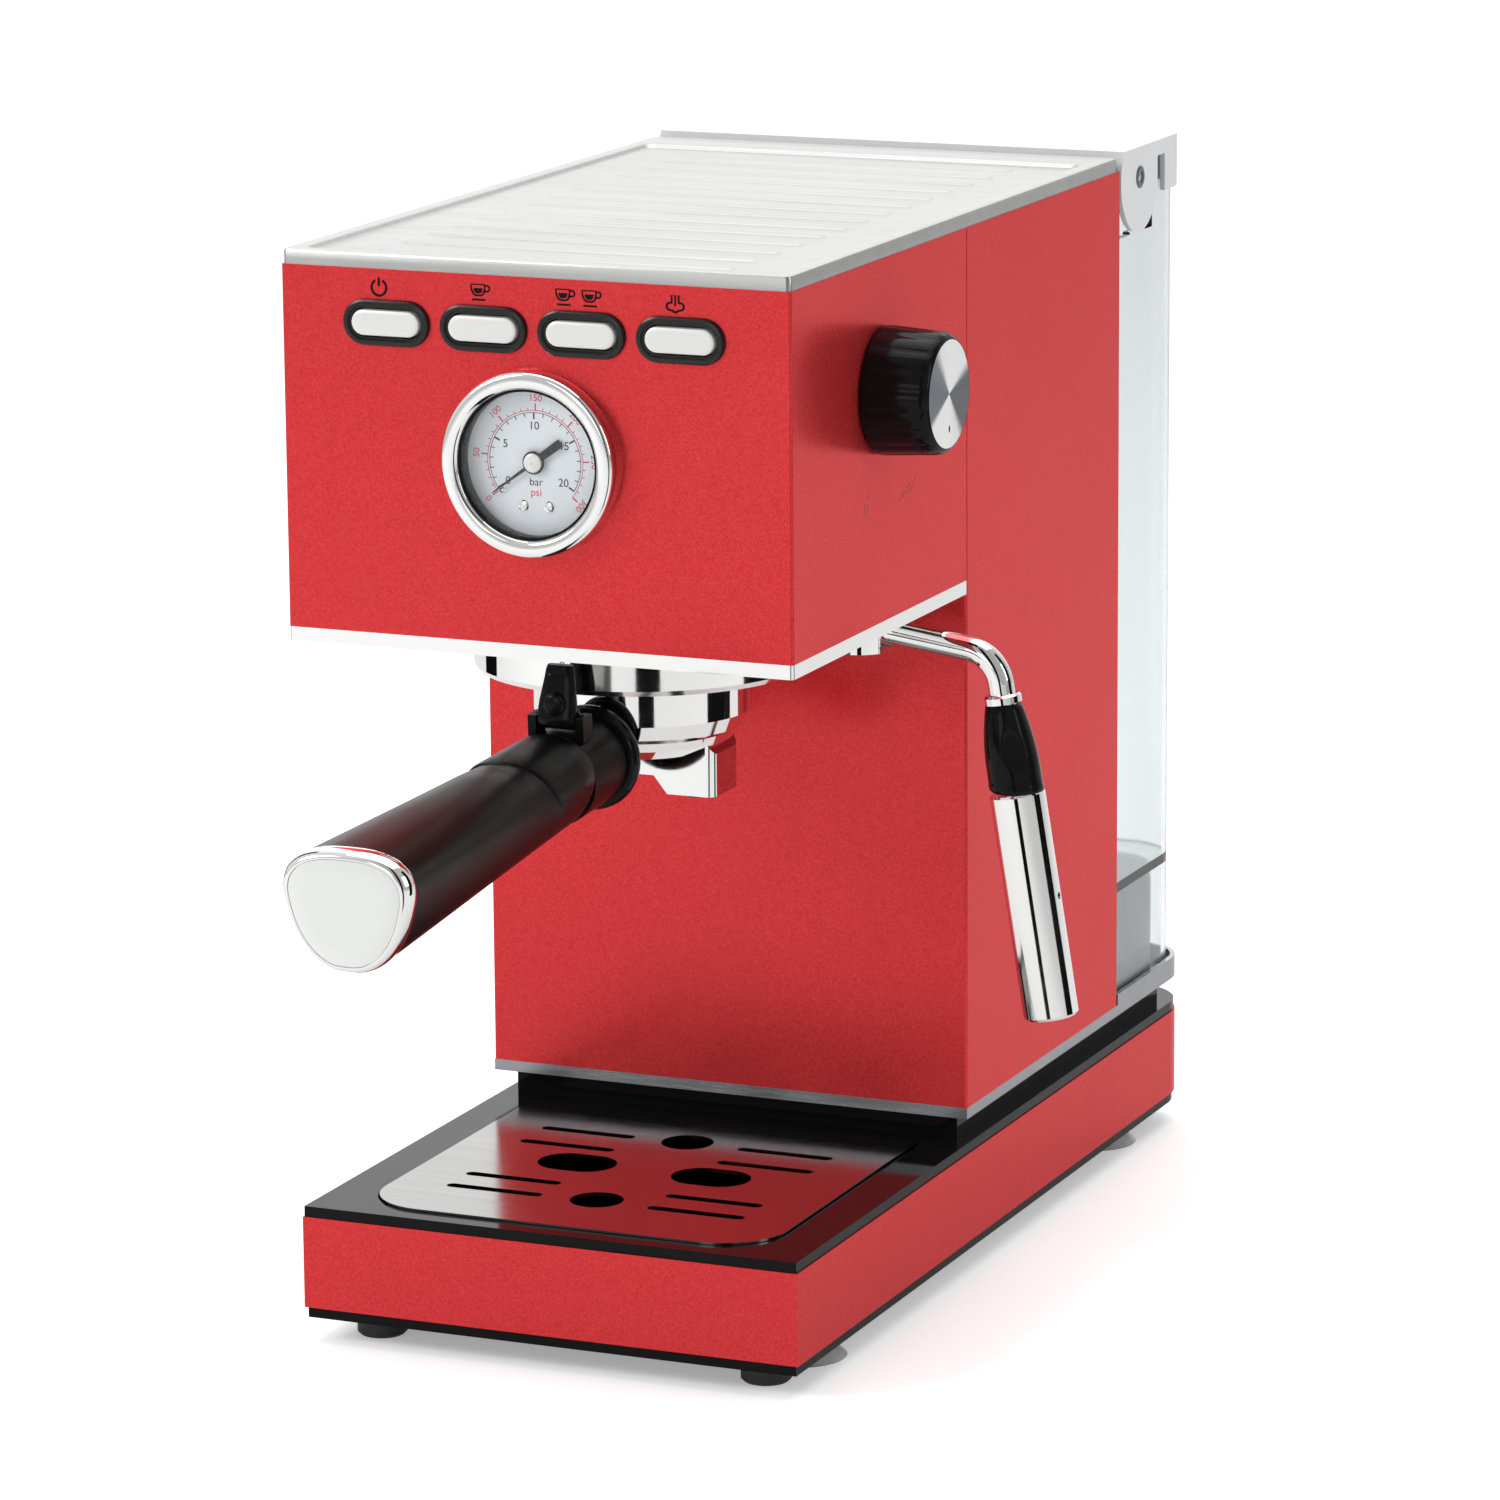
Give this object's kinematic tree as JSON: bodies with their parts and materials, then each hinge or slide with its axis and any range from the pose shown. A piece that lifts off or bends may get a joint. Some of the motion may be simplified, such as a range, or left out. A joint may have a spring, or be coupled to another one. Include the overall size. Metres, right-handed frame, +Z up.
{
  "type": "espresso machine",
  "caption": "Slim pump espresso machine with lever portafilter, steam wand, pressure gauge, drip tray and lift-out water tank.",
  "frame": {"origin": "centre of the whole outline on the surface that the machine stands on", "axes": "+X to the machine's right as its user faces it, +Y from the user's side to the back, +Z up"},
  "size_m": [0.1886, 0.4386, 0.3066],
  "materials": {
    "red_paint": "satin metallic",
    "chrome": "polished",
    "steel": "brushed",
    "silver_paint": "satin",
    "black_gloss": "gloss",
    "black_matte": "matte",
    "rubber": "matte",
    "clear_rubber": "clear",
    "clear_plastic": "clear",
    "pale_plastic": "gloss",
    "grey_plastic": "satin",
    "white_dial": "matte",
    "red_plastic": "gloss",
    "aluminium": "cast",
    "brass": "machined",
    "green_board": "matte",
    "hose": "satin"
  },
  "bodies": {
    "machine": {"base_band": "red_paint", "base_deck": "black_gloss", "base_plate": "black_matte", "button_bezels": "black_gloss", "button_carrier": "black_matte", "chassis": "steel", "column_shell": "red_paint", "column_trim": "silver_paint", "control_board": "green_board", "cup_shelf": "steel", "gauge_bezel": "chrome", "gauge_case": "black_matte", "gauge_dial": "white_dial", "gauge_glass": "clear_plastic", "group_collar": "chrome", "group_gasket": "rubber", "group_head": "aluminium", "head_shell": "red_paint", "head_trim": "chrome", "hoses": "hose", "plinth": "black_gloss", "power_gland": "black_matte", "pump": "grey_plastic", "pump_mounts": "rubber", "rear_panel": "steel", "rubber_feet": "rubber", "shower_screen": "steel", "solenoid_valve": "brass", "steam_valve": "brass", "suction_cups": "clear_rubber", "tank_dock": "grey_plastic", "thermoblock": "aluminium"},
    "power_button": {"power_button": "silver_paint"},
    "one_cup_button": {"one_cup_button": "silver_paint"},
    "two_cup_button": {"two_cup_button": "silver_paint"},
    "steam_button": {"steam_button": "silver_paint"},
    "needle": {"gauge_needle": "black_matte"},
    "knob": {"steam_knob": "black_gloss", "knob_disc": "silver_paint", "valve_spindle": "brass"},
    "wand_swivel": {"wand_socket": "chrome"},
    "wand": {"wand_pipe": "chrome", "wand_nut": "chrome", "wand_grip": "black_matte"},
    "froth_sleeve": {"froth_sleeve": "chrome"},
    "portafilter": {"portafilter_body": "chrome", "handle_stem": "chrome", "filter_basket": "steel", "spout_block": "chrome", "spout_nozzles": "black_matte", "handle_neck": "black_matte", "handle_grip": "black_matte", "handle_cap": "chrome", "cap_badge": "pale_plastic"},
    "basket_clip": {"basket_clip": "black_matte"},
    "drip_tray": {"drip_tray": "black_matte"},
    "drip_grid": {"drip_grid": "steel"},
    "tray_float": {"tray_float": "red_plastic"},
    "water_tank": {"water_tank": "clear_plastic"},
    "tank_lid": {"tank_lid": "pale_plastic"}
  },
  "joints": [
    {"name": "power_button_press", "type": "slide", "parent": "machine", "child": "power_button", "axis": [0, 1, 0], "range_m": [0, 0.0015], "stiffness_N_per_m": 1500},
    {"name": "one_cup_button_press", "type": "slide", "parent": "machine", "child": "one_cup_button", "axis": [0, 1, 0], "range_m": [0, 0.0015], "stiffness_N_per_m": 1500},
    {"name": "two_cup_button_press", "type": "slide", "parent": "machine", "child": "two_cup_button", "axis": [0, 1, 0], "range_m": [0, 0.0015], "stiffness_N_per_m": 1500},
    {"name": "steam_button_press", "type": "slide", "parent": "machine", "child": "steam_button", "axis": [0, 1, 0], "range_m": [0, 0.0015], "stiffness_N_per_m": 1500},
    {"name": "needle_turn", "type": "hinge", "parent": "machine", "child": "needle", "pos_m": [-0.0204, -0.1007, 0.252], "axis": [0, 1, 0], "range_deg": [0, 252], "stiffness_Nm_per_rad": 0.0005},
    {"name": "knob_turn", "type": "hinge", "parent": "machine", "child": "knob", "pos_m": [0.0536, -0.0382, 0.266], "axis": [1, 0, 0], "range_deg": [0, 180]},
    {"name": "wand_swivel_turn", "type": "hinge", "parent": "machine", "child": "wand_swivel", "pos_m": [0.0296, 0.0043, 0.192], "axis": [0, 0, 1], "range_deg": [-60, 25]},
    {"name": "wand_tilt", "type": "hinge", "parent": "wand_swivel", "child": "wand", "pos_m": [0.0296, 0.0043, 0.192], "axis": [0, -1, 0], "range_deg": [-8, 10]},
    {"name": "sleeve_pull", "type": "slide", "parent": "wand", "child": "froth_sleeve", "axis": [0.1599, 0, -0.9871], "range_m": [0, 0.025]},
    {"name": "portafilter_turn", "type": "hinge", "parent": "machine", "child": "portafilter", "pos_m": [-0.0204, -0.0322, 0.18], "axis": [0, 0, -1], "range_deg": [0, 45]},
    {"name": "clip_tilt", "type": "hinge", "parent": "portafilter", "child": "basket_clip", "pos_m": [-0.0204, -0.08703, 0.17978], "axis": [1, 0, 0], "range_deg": [0, 25]},
    {"name": "tray_lift", "type": "slide", "parent": "machine", "child": "drip_tray", "axis": [0, 0, 1], "range_m": [0, 0.045]},
    {"name": "grid_lift", "type": "slide", "parent": "drip_tray", "child": "drip_grid", "axis": [0, 0, 1], "range_m": [0, 0.03]},
    {"name": "float_rise", "type": "slide", "parent": "drip_tray", "child": "tray_float", "axis": [0, 0, 1], "range_m": [0, 0.005]},
    {"name": "tank_lift", "type": "slide", "parent": "machine", "child": "water_tank", "axis": [0, 0, 1], "range_m": [0, 0.15]},
    {"name": "lid_open", "type": "hinge", "parent": "water_tank", "child": "tank_lid", "pos_m": [-0.0204, 0.1647, 0.2976], "axis": [1, 0, 0], "range_deg": [0, 88]}
  ]
}
